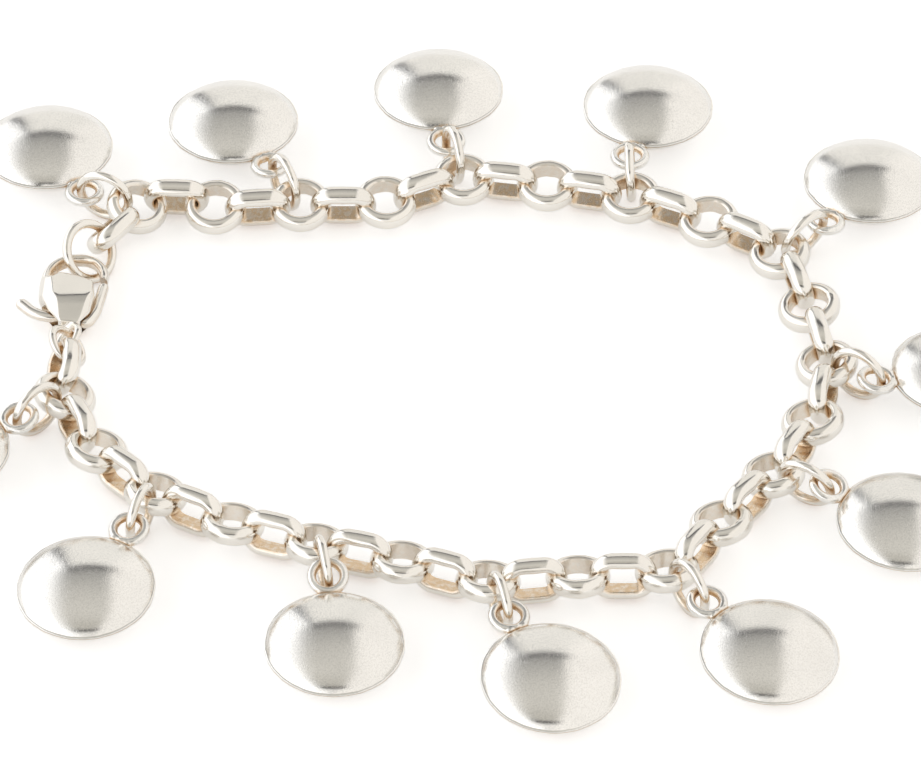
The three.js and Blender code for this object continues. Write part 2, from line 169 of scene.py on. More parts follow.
def take(*things):
    let_go()
    for thing in things:
        thing.select_set(True)
    bpy.context.view_layer.objects.active = things[0]


def pick(rule):
    """In edit mode, selects just the vertices whose place meets the rule."""
    work = bmesh.from_edit_mesh(bpy.context.object.data)
    bpy.ops.mesh.select_all(action="DESELECT")
    for vertex in work.verts:
        if rule(vertex.co):
            vertex.select_set(True)
    work.select_flush_mode()
    bmesh.update_edit_mesh(bpy.context.object.data)


def edit():
    bpy.ops.object.mode_set(mode="EDIT")
    bpy.ops.mesh.select_all(action="SELECT")


def leave():
    bpy.ops.object.mode_set(mode="OBJECT")


def tidy_mesh():
    edit()
    bpy.ops.mesh.remove_doubles(threshold=JOIN_DISTANCE)
    bpy.ops.mesh.normals_make_consistent(inside=False)
    leave()


def finish_with(thing, kind, name, **settings):
    take(thing)
    modifier = thing.modifiers.new(name, kind)
    for key, value in settings.items():
        setattr(modifier, key, value)
    bpy.ops.object.modifier_apply(modifier=name)


def settle(thing):
    take(thing)
    bpy.ops.object.transform_apply(location=True, rotation=True, scale=True)


def unite(thing, *others):
    """Cuts the others' insides away and joins them with the thing in one skin."""
    for other in others:
        finish_with(thing, "BOOLEAN", "solder", object=other, operation="UNION", solver="EXACT")
        bpy.data.objects.remove(other)


def carve(thing, tool):
    finish_with(thing, "BOOLEAN", "carve", object=tool, operation="DIFFERENCE", solver="EXACT")
    bpy.data.objects.remove(tool)


def upright_cylinder(sides, radius, depth, place):
    let_go()
    bpy.ops.mesh.primitive_cylinder_add(vertices=sides, radius=radius, depth=depth, location=place)
    cylinder = bpy.context.object
    settle(cylinder)
    return cylinder


def turn(axis, degrees):
    return Matrix.Rotation(math.radians(degrees), 4, axis)


def copy_to(master, name, matrix, finish, body="bracelet"):
    """A copy with its own mesh, put where the matrix says, in metres."""
    piece = bpy.data.objects.new(name, master.data.copy())
    bpy.context.scene.collection.objects.link(piece)
    piece.data.name = name
    piece.data.transform(Matrix.Scale(MM, 4) @ Matrix.Translation(LOOP_SHIFT) @ matrix)
    piece.data.materials.clear()
    piece.data.materials.append(finish)
    take(piece)
    bpy.ops.object.shade_smooth_by_angle(angle=math.radians(SMOOTH_ANGLE))
    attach(piece, body)
    return piece


# ---------------------------------------------------------------- the chain's course

CLASP_TAIL = (CLASP_NOSE[0] - CLASP_LENGTH * math.sin(math.radians(CLASP_TURN)),
              CLASP_NOSE[1] - CLASP_LENGTH * math.cos(math.radians(CLASP_TURN)))
TAIL_PLACE = (CLASP_TAIL[0], CLASP_TAIL[1] - (TAIL_RING_DIAMETER - TAIL_RING_WIRE) / 2)


def route_points(steps):
    """Even steps of a centripetal spline through the chain's route."""
    rows = [Vector((x, y, CHAIN_HEIGHT)) for x, y in CHAIN_ROUTE + [TAIL_PLACE]]
    rows = [2 * rows[0] - rows[1]] + rows + [2 * rows[-1] - rows[-2]]
    spans = len(rows) - 3
    points = []
    for i in range(steps + 1):
        place = i / steps * spans
        n = min(int(place), spans - 1)
        t = place - n
        a, b, c, d = rows[n:n + 4]
        ab, bc, cd = [(q - p).length ** 0.5 for p, q in ((a, b), (b, c), (c, d))]
        start = ((b - a) / ab - (c - a) / (ab + bc) + (c - b) / bc) * bc
        end = ((c - b) / bc - (d - b) / (bc + cd) + (d - c) / cd) * bc
        points.append(b + start * t + (3 * (c - b) - 2 * start - end) * t ** 2
                      + (2 * (b - c) + start + end) * t ** 3)
    return points


def hanging_reach(diameter, wire):
    """How far a ring's middle hangs from the wire of the link that it goes through."""
    inside = diameter / 2 - wire - RING_SLACK
    return math.sqrt(inside ** 2 - (WIRE_BREADTH / 2) ** 2)


COURSE = route_points(28000)
COURSE_RUN = [0.0]
for before, after in zip(COURSE, COURSE[1:]):
    COURSE_RUN.append(COURSE_RUN[-1] + (after - before).length)
COURSE_LENGTH = COURSE_RUN[-1]
ROUND_LINK_INSIDE = ROUND_LINK_DIAMETER / 2 - WIRE_THICKNESS
LINK_PLACES = LINKS_PER_CHARM * len(CHARMS)
LINK_PITCH = (COURSE_LENGTH + LINK_SEAT + ROUND_LINK_INSIDE
              - hanging_reach(TAIL_RING_DIAMETER, TAIL_RING_WIRE)) / LINK_PLACES
OVAL_LINK_LENGTH = 2 * (LINK_PITCH - LINK_SEAT - ROUND_LINK_INSIDE + WIRE_THICKNESS)


def roll_at(index):
    """How far the chain has rolled over at a link, from the rows on either side."""
    for (a, low), (b, high) in zip(CHAIN_TWIST, CHAIN_TWIST[1:]):
        if index <= b:
            return math.radians(low + (high - low) * (index - a) / (b - a))


def station(index):
    """Middle, heading and roll of a place on the course."""
    run = min(COURSE_LENGTH, index * LINK_PITCH)
    low, high = 0, len(COURSE) - 1
    while high - low > 1:
        half = (low + high) // 2
        low, high = (half, high) if COURSE_RUN[half] <= run else (low, half)
    ahead = COURSE[high] - COURSE[low]
    middle = COURSE[low] + ahead * ((run - COURSE_RUN[low]) / ahead.length)
    return middle, math.atan2(ahead.y, ahead.x), roll_at(index)


# ---------------------------------------------------------------- finishes

def node(tree, kind, **values):
    made = tree.nodes.new(kind)
    for key, value in values.items():
        if key in made.inputs:
            made.inputs[key].default_value = value
        else:
            setattr(made, key, value)
    return made


def sums(tree, operation, a, b, c=None):
    made = tree.nodes.new("ShaderNodeMath")
    made.operation = operation
    for i, value in enumerate((a, b, c)):
        if isinstance(value, (int, float)):
            made.inputs[i].default_value = value
        elif value is not None:
            tree.links.new(value, made.inputs[i])
    return made.outputs[0]


def ramped(tree, value, low, high, to_low=0.0, to_high=1.0):
    made = tree.nodes.new("ShaderNodeMapRange")
    made.interpolation_type = "SMOOTHSTEP"
    for i, number in enumerate((low, high, to_low, to_high)):
        made.inputs[i + 1].default_value = number
    tree.links.new(value, made.inputs[0])
    return made.outputs[0]


def blended(tree, mask, a, b):
    """Colours a and b mixed by a mask; each is a colour or a socket."""
    made = tree.nodes.new("ShaderNodeMix")
    made.data_type = "RGBA"
    sockets = [s for s in made.inputs if s.type == "RGBA"]
    tree.links.new(mask, made.inputs[0])
    for socket, value in zip(sockets, (a, b)):
        if isinstance(value, tuple):
            socket.default_value = (*value, 1.0)
        else:
            tree.links.new(value, socket)
    return [s for s in made.outputs if s.type == "RGBA"][0]


def band(tree, value, rise, fall):
    """1 where a value lies between two soft edges, and 0 outside them."""
    return sums(tree, "MULTIPLY", ramped(tree, value, *rise), ramped(tree, value, *fall))


def effect(name, inputs, outputs):
    group = bpy.data.node_groups.new(name, "ShaderNodeTree")
    for label, value in inputs.items():
        socket = group.interface.new_socket(label, in_out="INPUT", socket_type="NodeSocketFloat")
        socket.default_value = value
    for label, kind in outputs.items():
        group.interface.new_socket(label, in_out="OUTPUT", socket_type=kind)
    return group, group.nodes.new("NodeGroupInput"), group.nodes.new("NodeGroupOutput")


def cloudy_noise(tree, scale, detail, roughness=0.5):
    """Noise that stays in place on its piece."""
    place = tree.nodes.new("ShaderNodeTexCoord")
    noise = node(tree, "ShaderNodeTexNoise", Scale=scale, Detail=detail, Roughness=roughness)
    tree.links.new(place.outputs["Object"], noise.inputs["Vector"])
    return noise.outputs[0]


def stretched_noise(tree, scale, along, turned):
    """Noise drawn out into short lines."""
    place = tree.nodes.new("ShaderNodeTexCoord")
    mapping = node(tree, "ShaderNodeMapping")
    mapping.inputs["Rotation"].default_value = [math.radians(v) for v in turned]
    mapping.inputs["Scale"].default_value = (1.0, along, 1.0)
    tree.links.new(place.outputs["Object"], mapping.inputs["Vector"])
    noise = node(tree, "ShaderNodeTexNoise", Scale=scale, Detail=3.0, Roughness=0.6)
    tree.links.new(mapping.outputs[0], noise.inputs["Vector"])
    return noise.outputs[0]


# Hairlines: how fine they are, how far drawn out, and how their direction is turned
HAIRLINES = [(9500, 0.07, (0, 0, 24)), (11000, 0.06, (0, 30, -52)), (8200, 0.09, (40, 0, 81))]


def handling_marks():
    """Hairline scratches in three directions, small dings, fine sandy grain and a slow
    cloud of wear."""
    group, given, out = effect(
        "handling marks",
        {"Scratches": 1.0, "Dings": 1.0, "Sand": 1.0},
        {"Height": "NodeSocketFloat", "Lines": "NodeSocketFloat", "Sand": "NodeSocketFloat",
         "Cloud": "NodeSocketFloat"},
    )
    first, second, third = [
        ramped(group, stretched_noise(group, *hairlines), 0.56, 0.80) for hairlines in HAIRLINES]
    lines = sums(group, "MAXIMUM", sums(group, "MAXIMUM", first, second), third)
    place = group.nodes.new("ShaderNodeTexCoord")
    dots = node(group, "ShaderNodeTexVoronoi", Scale=700)
    group.links.new(place.outputs["Object"], dots.inputs["Vector"])
    ding = ramped(group, dots.outputs["Distance"], 0.0, 0.12, 1.0, 0.0)
    grain = ramped(group, cloudy_noise(group, 7500, 3.0, 0.7), 0.42, 0.66)
    sand = sums(group, "MULTIPLY", grain, given.outputs["Sand"])
    height = sums(group, "MULTIPLY", lines, given.outputs["Scratches"])
    pits = sums(group, "MULTIPLY", ding, given.outputs["Dings"])
    depth = sums(group, "ADD", sums(group, "ADD", height, pits), sums(group, "MULTIPLY", sand, 0.5))
    group.links.new(sums(group, "MULTIPLY", depth, -1.0), out.inputs["Height"])
    group.links.new(lines, out.inputs["Lines"])
    group.links.new(sand, out.inputs["Sand"])
    group.links.new(cloudy_noise(group, 260, 2.0), out.inputs["Cloud"])
    return group


def painted_shade_group():
    """Painted shade: a warm shade in patches on the inner faces marked as recess and, found by
    ambient occlusion, in the narrow places between links, where it is painted dark in flecks."""
    group, given, out = effect(
        "painted shade", {"Amount": 1.0}, {"Mask": "NodeSocketFloat", "Dark": "NodeSocketFloat"})
    recess = node(group, "ShaderNodeAttribute", attribute_name="recess")
    patches = cloudy_noise(group, 2200, 5.0, 0.65)
    broken = ramped(group, patches, 0.36, 0.58, 0.45, 1.0)
    inner = sums(group, "MULTIPLY", recess.outputs["Fac"], broken)
    # ambient occlusion finds the narrow places between parts, where shade is painted
    hollow = node(group, "ShaderNodeAmbientOcclusion", samples=6, Distance=0.0008)
    tight = ramped(group, hollow.outputs["AO"], 0.84, 0.36, 0.0, 0.95)
    spread = sums(group, "MAXIMUM", inner, tight)
    group.links.new(sums(group, "MULTIPLY", spread, given.outputs["Amount"]), out.inputs["Mask"])
    deepest = ramped(group, hollow.outputs["AO"], 0.55, 0.20, 0.0, 0.95)
    flecks = ramped(group, patches, 0.60, 0.40, 0.35, 1.0)
    dark = sums(group, "MULTIPLY", deepest, flecks)
    group.links.new(sums(group, "MULTIPLY", dark, given.outputs["Amount"]), out.inputs["Dark"])
    return group


MARKS = handling_marks()
SHADE_GROUP = painted_shade_group()


def silver(name, clean, roughness, scratches, dings, sand, shade_amount, bump):
    finish = bpy.data.materials.new(name)
    finish.use_nodes = True
    tree = finish.node_tree
    shader = tree.nodes["Principled BSDF"]
    shader.inputs["Metallic"].default_value = 1.0
    marks = node(tree, "ShaderNodeGroup", node_tree=MARKS,
                 Scratches=scratches, Dings=dings, Sand=sand)
    shade_node = node(tree, "ShaderNodeGroup", node_tree=SHADE_GROUP, Amount=shade_amount)
    cloud = ramped(tree, marks.outputs["Cloud"], 0.35, 0.7)
    skin = blended(tree, cloud, clean, tuple(c * 0.955 for c in clean))
    skin = blended(tree, sums(tree, "MULTIPLY", marks.outputs["Sand"], 0.16), skin, GREY_SAND)
    # painted shade: warm over inner faces and narrow places, dark in the tightest ones
    warm_shaded = blended(tree, shade_node.outputs["Mask"], skin, PAINTED_WARM_SHADE)
    colour = blended(tree, shade_node.outputs["Dark"], warm_shaded, PAINTED_DARK_SHADE)
    tree.links.new(colour, shader.inputs["Base Color"])
    worn = sums(tree, "MULTIPLY_ADD", marks.outputs["Lines"], 0.10, roughness)
    worn = sums(tree, "MULTIPLY_ADD", marks.outputs["Cloud"], 0.05, worn)
    dull = sums(tree, "MULTIPLY_ADD", shade_node.outputs["Mask"], 0.22, worn)
    tree.links.new(dull, shader.inputs["Roughness"])
    relief = node(tree, "ShaderNodeBump", Strength=1.0, Distance=bump)
    tree.links.new(marks.outputs["Height"], relief.inputs["Height"])
    tree.links.new(relief.outputs[0], shader.inputs["Normal"])
    return finish


polished = silver("polished silver", POLISHED_SILVER, roughness=0.10, scratches=1.0, dings=0.4,
                  sand=0.2, shade_amount=1.0, bump=0.0000025)
satin = silver("satin silver", SATIN_SILVER, roughness=0.13, scratches=1.0, dings=0.5,
               sand=1.0, shade_amount=1.0, bump=0.0000030)


def mark_recess(thing, rule):
    """Stores how much each vertex lies on an inner face, to say where shade is painted."""
    layer = thing.data.attributes.new("recess", "FLOAT", "POINT")
    for vertex in thing.data.vertices:
        layer.data[vertex.index].value = rule(vertex.co, vertex.normal)


# ---------------------------------------------------------------- links

LINK_STEPS = 72
SECTION_SIDES = 24


def half_round_link(name, outer_diameter, length, open_shade, lower_shade=0.0):
    """A link bent from half-round wire, flat inside, lying about its own middle. The two shades say
    how much painted shade its inner face holds away from its ends, where it is full."""
    inside = outer_diameter / 2 - WIRE_THICKNESS
    middle = Vector((outer_diameter / 2 - WIRE_CROWN, 0, 0))
    let_go()
    bpy.ops.mesh.primitive_circle_add(
        vertices=SECTION_SIDES, radius=WIRE_BREADTH / 2, rotation=(math.pi / 2, 0, 0),
        location=middle)
    thing = bpy.context.object
    thing.name = name
    settle(thing)
    edit()
    bpy.ops.transform.resize(value=(WIRE_CROWN / (WIRE_BREADTH / 2), 1, 1), center_override=middle)
    pick(lambda co: co.x < inside)
    bpy.ops.transform.resize(value=(0, 1, 1), center_override=(inside, 0, 0))
    bpy.ops.mesh.select_all(action="SELECT")
    bpy.ops.mesh.spin(steps=LINK_STEPS, angle=2 * math.pi, center=(0, 0, 0), axis=(0, 0, 1))
    leave()
    tidy_mesh()
    edit()
    half = (length - outer_diameter) / 2
    if half > 0:
        for side in (-1, 1):
            pick(lambda co: co.x * side > 1e-3)
            bpy.ops.transform.translate(value=(side * half, 0, 0))
    # the soldered joint, a little fuller than the wire beside it
    pick(lambda co: abs(co.x) < 0.3 and co.y > 0)
    joint = Vector((0, outer_diameter / 2 - WIRE_THICKNESS / 2, 0))
    bpy.ops.transform.resize(value=(1, 1.05, 1.03), center_override=joint)
    leave()
    thing.data.update()

    # where painted shade goes on the inner face
    def facing_in(co, normal):
        spot = Vector((co.x - max(-half, min(half, co.x)), co.y, 0)).normalized()
        inner = max(0.0, min(1.0, -1.6 * normal.dot(spot) - 0.1))
        at_joint = max(0.0, min(1.0, (abs(spot.x) - 0.72) / 0.22))
        plain = open_shade if co.y > 0 or half == 0 else lower_shade
        return inner * (plain + (1 - plain) * at_joint)

    mark_recess(thing, facing_in)
    return thing


lying_link = half_round_link("lying link", ROUND_LINK_DIAMETER, ROUND_LINK_DIAMETER, 0.22)
standing_link = half_round_link("standing link", OVAL_LINK_HEIGHT, OVAL_LINK_LENGTH, 0.3, 0.8)
for i in range(1, LINK_PLACES):
    middle, heading, roll = station(i)
    where = (Matrix.Translation(middle) @ Matrix.Rotation(heading, 4, "Z")
             @ Matrix.Rotation(roll, 4, "X"))
    if i % 2:
        link = copy_to(
            standing_link, f"oval_link_{(i + 1) // 2:02d}", where @ turn("X", 90), polished)
    else:
        link = copy_to(lying_link, f"round_link_{i // 2:02d}", where, polished)
    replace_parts(link, "chain")


# ---------------------------------------------------------------- rings

def ring(name, diameter, wire):
    """A ring of round wire with the fine line of its closed joint."""
    let_go()
    middle_radius = (diameter - wire) / 2
    bpy.ops.mesh.primitive_torus_add(
        major_segments=72, minor_segments=20, major_radius=middle_radius, minor_radius=wire / 2)
    thing = bpy.context.object
    thing.name = name
    edit()
    pick(lambda co: co.x > 0 and abs(co.y) < 0.02)
    bpy.ops.transform.resize(value=(0.93, 1, 0.93), center_override=(middle_radius, 0, 0))
    leave()

    # painted shade on the ring's inner face
    def facing_in(co, normal):
        return max(0.0, min(0.6, -1.3 * normal.dot(Vector((co.x, co.y, 0)).normalized()) - 0.45))

    mark_recess(thing, facing_in)
    return thing


# ---------------------------------------------------------------- charms

DOME_RADIUS = CHARM_DIAMETER / 2 - RIM_WIDTH
DOME_RISE = (CHARM_THICKNESS - RIM_THICKNESS) / 2
DOME_SPHERE = (DOME_RADIUS ** 2 + DOME_RISE ** 2) / (2 * DOME_RISE)
DOME_FULLNESS = 0.34
SOLDER_REACH = CHARM_DIAMETER / 2 - EYE_SINK
RING_PLACE = ROUND_LINK_INSIDE + hanging_reach(RING_DIAMETER, RING_WIRE)
RING_HEIGHT = RING_DIAMETER / 2 + RING_FLOOR_GAP


def charm_lie(tilt, bend, pull):
    """Height of a charm's middle, how far that is from its eye's, and the eye's place."""
    rise, eye_rise = math.radians(tilt), math.radians(tilt + bend)
    height = DOME_SPHERE - (DOME_SPHERE - CHARM_THICKNESS / 2) * math.cos(rise)
    reach = SOLDER_REACH * math.cos(rise) + EYE_DIAMETER / 2 * math.cos(eye_rise)
    wire = (height + SOLDER_REACH * math.sin(rise)
            + (EYE_DIAMETER - EYE_WIRE / 2) * math.sin(eye_rise))
    nearest = max((ROUND_LINK_DIAMETER + EYE_DIAMETER) / 2,
                  RING_PLACE + (RING_DIAMETER - EYE_DIAMETER) / 2 + EYE_WIRE)
    ring_reach = math.sqrt((RING_DIAMETER / 2 - RING_WIRE) ** 2 - (wire - RING_HEIGHT) ** 2)
    wire_reach = (EYE_DIAMETER - EYE_WIRE) / 2 * math.cos(eye_rise) - EYE_WIRE / 2
    farthest = RING_PLACE + ring_reach + wire_reach
    return height, reach, nearest + (farthest - nearest) * pull


def domed_charm():
    """Two domes soldered at a thin rim."""
    cut = DOME_SPHERE - DOME_RISE
    let_go()
    bpy.ops.mesh.primitive_uv_sphere_add(segments=128, ring_count=160, radius=DOME_SPHERE)
    thing = bpy.context.object
    thing.name = "charm"
    edit()
    bpy.ops.mesh.bisect(plane_co=(0, 0, cut), plane_no=(0, 0, 1), clear_inner=True, use_fill=False)
    bpy.ops.mesh.select_all(action="SELECT")
    bpy.ops.transform.translate(value=(0, 0, RIM_THICKNESS / 2 - cut))
    # the rim: out over its edge, down, and in to the seam
    pick(lambda co: co.z < RIM_THICKNESS / 2 + 1e-4)
    wide = (DOME_RADIUS + 0.6 * RIM_WIDTH) / DOME_RADIUS
    steps = [(wide, -0.01), ((DOME_RADIUS + RIM_WIDTH) / (DOME_RADIUS + 0.6 * RIM_WIDTH), -0.04),
             (1.0, -0.08), (0.9975, -0.03), (0.988, -0.02)]
    for size, drop in steps:
        bpy.ops.mesh.extrude_edges_move(TRANSFORM_OT_translate={"value": (0, 0, drop)})
        bpy.ops.transform.resize(value=(size, size, 1), center_override=(0, 0, 0))
    leave()
    lowest = min(v.co.z for v in thing.data.vertices)
    edit()
    pick(lambda co: co.z < lowest + 1e-4)
    bpy.ops.transform.resize(value=(1, 1, 0), center_override=(0, 0, 0))
    bpy.ops.mesh.select_all(action="SELECT")
    bpy.ops.mesh.duplicate()
    bpy.ops.transform.resize(value=(1, 1, -1), center_override=(0, 0, 0))
    leave()
    tidy_mesh()
    # domes pressed a little fuller towards a rim that was filed by hand
    for vertex in thing.data.vertices:
        flat = Vector((vertex.co.x, vertex.co.y, 0))
        share = flat.length / DOME_RADIUS
        if share < 0.999:
            vertex.co.z += math.copysign(DOME_FULLNESS * (share ** 4 - share ** 14), vertex.co.z)
        else:
            angle = math.atan2(vertex.co.y, vertex.co.x)
            wave = sum(deep * math.sin(count * angle + start) for count, start, deep in RIM_WAVES)
            vertex.co += flat.normalized() * (wave * RIM_WAVE_DEPTH)
    return thing


def soldered_eye(bend):
    """A charm's eye in its place on the rim, and the drops of solder that hold it."""
    let_go()
    bpy.ops.mesh.primitive_torus_add(
        major_segments=64, minor_segments=20, major_radius=(EYE_DIAMETER - EYE_WIRE) / 2,
        minor_radius=EYE_WIRE / 2, location=(EYE_DIAMETER / 2, 0, 0))
    eye = bpy.context.object
    settle(eye)
    eye.data.transform(Matrix.Translation((SOLDER_REACH, 0, 0)) @ turn("Y", -bend))
    drops = []
    for across, up, size in SOLDER_DROPS:
        let_go()
        bpy.ops.mesh.primitive_uv_sphere_add(
            segments=24, ring_count=16, radius=size, scale=(0.62, 1.0, 0.66),
            location=(CHARM_DIAMETER / 2 + 0.02, across, up))
        drop = bpy.context.object
        settle(drop)
        drops.append(drop)
    return eye, drops


# painted shade on the inner face of the charm's eye
def eye_recess(co, normal):
    out = Vector((co.x - SOLDER_REACH - EYE_DIAMETER / 2, co.y, 0))
    if co.x < DOME_RADIUS - 0.3 or out.length > EYE_DIAMETER / 2:
        return 0.0
    return max(0.0, min(1.0, -1.3 * normal.dot(out.normalized()) - 0.3))


def charm_with_eye(bend):
    charm = domed_charm()
    eye, drops = soldered_eye(bend)
    unite(eye, *drops)
    finish_with(eye, "REMESH", "flow", mode="VOXEL", voxel_size=EYE_VOXEL, use_smooth_shade=True)
    finish_with(eye, "SMOOTH", "flow smooth", factor=0.5, iterations=5)
    unite(charm, eye)
    tidy_mesh()
    mark_recess(charm, eye_recess)
    return charm


jump_ring = ring("jump ring", RING_DIAMETER, RING_WIRE)
for k, (swing, pull, further, lean, tilt, bend) in enumerate(CHARMS):
    middle, heading, _ = station(LINKS_PER_CHARM * k + 2)
    holder = (Matrix.Translation((middle.x, middle.y, 0))
              @ Matrix.Rotation(heading + math.pi / 2 + math.radians(swing), 4, "Z"))
    number = f"{k + 1:02d}"
    where = (holder @ Matrix.Translation((RING_PLACE, 0, RING_HEIGHT)) @ turn("X", 90 + lean)
             @ turn("Z", RING_JOINT_START + RING_JOINT_STEP * k))
    loose = copy_to(jump_ring, f"jump_ring_{number}", where, polished)
    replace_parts(loose, f"charm_ring_{number}")
    height, reach, eye_place = charm_lie(tilt, bend, pull)
    where = (holder @ Matrix.Translation((eye_place, 0, 0)) @ turn("Z", further)
             @ Matrix.Translation((reach, 0, height)) @ turn("Z", 180) @ turn("Y", -tilt))
    charm = charm_with_eye(bend)
    lentil = copy_to(charm, f"domed_charm_{number}", where, satin)
    bpy.data.objects.remove(charm)
    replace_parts(lentil, f"charm_{number}")


# ---------------------------------------------------------------- clasp

def clasp_point(across, along, height=0.0):
    return Vector((across * CLASP_WIDTH / 2, along * CLASP_LENGTH, height))


PIVOT = clasp_point(*LEVER_PIVOT)


def cast_bar(name, rows):
    """A bar of oval section along rows of places, its ends closed flat."""
    curve = bpy.data.curves.new(name, "CURVE")
    curve.dimensions = "3D"
    curve.bevel_depth = 0.5
    curve.bevel_resolution = 8
    curve.resolution_u = 10
    curve.use_fill_caps = True
    spline = curve.splines.new("BEZIER")
    spline.bezier_points.add(len(rows) - 1)
    for point, (across, along, width, _) in zip(spline.bezier_points, rows):
        point.co = clasp_point(across, along)
        point.radius = width
        point.handle_left_type = point.handle_right_type = "AUTO"
    bar = bpy.data.objects.new(name, curve)
    bpy.context.scene.collection.objects.link(bar)
    take(bar)
    bpy.ops.object.convert(target="MESH")
    thick = sum(row[3] / row[2] for row in rows) / len(rows)
    for vertex in bar.data.vertices:
        vertex.co.z *= thick
    take(bar)
    tidy_mesh()
    return bar


def rounded_end(row):
    across, along, width, thickness = row
    let_go()
    bpy.ops.mesh.primitive_uv_sphere_add(
        segments=32, ring_count=24, radius=0.5, location=clasp_point(across, along),
        scale=(width, width, thickness * 0.98))
    ball = bpy.context.object
    settle(ball)
    return ball


def clasp_belly():
    """The full cast belly: a hull about its levels, the same above and below."""
    let_go()
    bpy.ops.mesh.primitive_plane_add(size=0.1)
    belly = bpy.context.object
    edit()
    bpy.ops.mesh.delete(type="VERT")
    leave()
    for side in (-1, 1):
        for thickness, rows in BELLY_LEVELS:
            for across, along in rows:
                belly.data.vertices.add(1)
                belly.data.vertices[-1].co = clasp_point(across, along, side * thickness / 2)
    edit()
    bpy.ops.mesh.convex_hull()
    leave()
    return belly


def lever_metal():
    """The lever at rest: gate, thumb prong and hub in one."""
    arms = [cast_bar("lever bar", rows) for rows in (GATE_ROWS, PRONG_ROWS)]
    tips = [rounded_end((*rows[-1][:3], LEVER_TIP_THICKNESS)) for rows in (GATE_ROWS, PRONG_ROWS)]
    hub = upright_cylinder(48, HUB_DIAMETER / 2, LEVER_THICKNESS, PIVOT)
    unite(hub, *arms, *tips)
    return hub


def lever_room(rows):
    """The even pocket for one arm of the lever through its whole swing."""
    depth = LEVER_THICKNESS + 2 * CLEARANCE
    room = upright_cylinder(48, HUB_DIAMETER / 2 + CLEARANCE, depth, PIVOT)
    for share in (0, 0.5, 1):
        swing = (Matrix.Translation(PIVOT) @ turn("Z", LEVER_OPENING * share)
                 @ Matrix.Translation(-PIVOT))
        for across, along, width, _ in rows:
            place = swing @ clasp_point(across, along)
            post = upright_cylinder(24, width / 2 + CLEARANCE, depth, place)
            take(room, post)
            bpy.ops.object.join()
    edit()
    bpy.ops.mesh.convex_hull()
    leave()
    return room


let_go()
bpy.ops.mesh.primitive_torus_add(
    major_segments=56, minor_segments=18, major_radius=(TAIL_EYE_DIAMETER - TAIL_EYE_WIRE) / 2,
    minor_radius=TAIL_EYE_WIRE / 2, rotation=(0, -math.radians(TAIL_EYE_LEAN), 0))
tail_eye = bpy.context.object
settle(tail_eye)
clasp = clasp_belly()
unite(clasp, cast_bar("hook", HOOK_ROWS), rounded_end(HOOK_ROWS[-1]), tail_eye)
finish_with(clasp, "REMESH", "cast", mode="VOXEL", voxel_size=CAST_VOXEL, use_smooth_shade=True)
finish_with(clasp, "SMOOTH", "cast smooth", factor=0.5, iterations=CAST_SMOOTHING)
for rows in (GATE_ROWS, PRONG_ROWS):
    carve(clasp, lever_room(rows))
foot_thickness = BELLY_LEVELS[-1][0]
unite(clasp, upright_cylinder(40, PIN_DIAMETER / 2, foot_thickness, PIVOT))
lever = lever_metal()
carve(lever, upright_cylinder(40, PIN_DIAMETER / 2 + CLEARANCE, BELLY_THICKNESS, PIVOT))
finish_with(lever, "BEVEL", "lever edge", width=0.07, segments=3, limit_method="ANGLE",
            angle_limit=math.radians(50))
for thing in (clasp, lever):
    take(thing)
    tidy_mesh()


# painted shade on the hook's inner face, fuller towards the left
def hook_recess(co, normal):
    eye_of_hook = clasp_point(0.05, 0.78)
    out = Vector((co.x - eye_of_hook.x, co.y - eye_of_hook.y, 0))
    inner = max(0.0, min(0.8, -1.4 * normal.dot(out.normalized()) - 0.2))
    leftmost = max(0.4, min(1.0, -co.x / (0.45 * CLASP_WIDTH / 2)))
    return inner * leftmost if co.y > 0.6 * CLASP_LENGTH else 0.0


mark_recess(clasp, hook_recess)
# painted shade on the lever's sides
mark_recess(lever, lambda co, normal: 0.25 if abs(normal.z) < 0.5 else 0.0)
clasp_place = Matrix.Translation((*CLASP_TAIL, BELLY_THICKNESS / 2)) @ turn("Z", -CLASP_TURN)
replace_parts(copy_to(clasp, "lobster_clasp", clasp_place, polished), "clasp_body")
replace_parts(copy_to(lever, "clasp_gate_lever", clasp_place, polished, body="lever"), "clasp_lever")

across, along, height = CLAW_RING_PLACE
where = (clasp_place @ Matrix.Translation(clasp_point(across, along, height - BELLY_THICKNESS / 2))
         @ turn("Z", CLAW_RING_TURN) @ turn("X", CLAW_RING_LEAN) @ turn("Z", 200))
claw_ring = ring("claw ring", CLAW_RING_DIAMETER, RING_WIRE)
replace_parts(copy_to(claw_ring, "claw_ring", where, polished), "clasp_ring")
where = (Matrix.Translation((*TAIL_PLACE, CHAIN_HEIGHT))
         @ Matrix.Rotation(roll_at(LINK_PLACES), 4, "Y") @ turn("Z", 170))
tail_ring = ring("tail ring", TAIL_RING_DIAMETER, TAIL_RING_WIRE)
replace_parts(copy_to(tail_ring, "tail_ring", where, polished), "clasp_tail_ring")

for model in (lying_link, standing_link, jump_ring, clasp, lever, claw_ring, tail_ring):
    bpy.data.objects.remove(model)


# ---------------------------------------------------------------- studio

# What each part of the tent sheds
BACK_OF_TOP = (0.34, 0.335, 0.325)
FRONT_OF_TOP = (0.65, 0.63, 0.585)
LOW_FRONT = (0.53, 0.51, 0.465)
FRONT_WALL = (0.88, 0.86, 0.83)
RIGHT_WALL = (0.98, 0.95, 0.91)
LEFT_WALL = (1.35, 1.35, 1.36)
BACK_WALL = (0.88, 0.86, 0.82)
LEFT_OF_BACK = (1.25, 1.25, 1.26)
FRONT_SLOT = (0.05, 0.05, 0.05)
BACK_GAP = (0.08, 0.08, 0.085)
WALL_JOINT = (0.08, 0.08, 0.09)


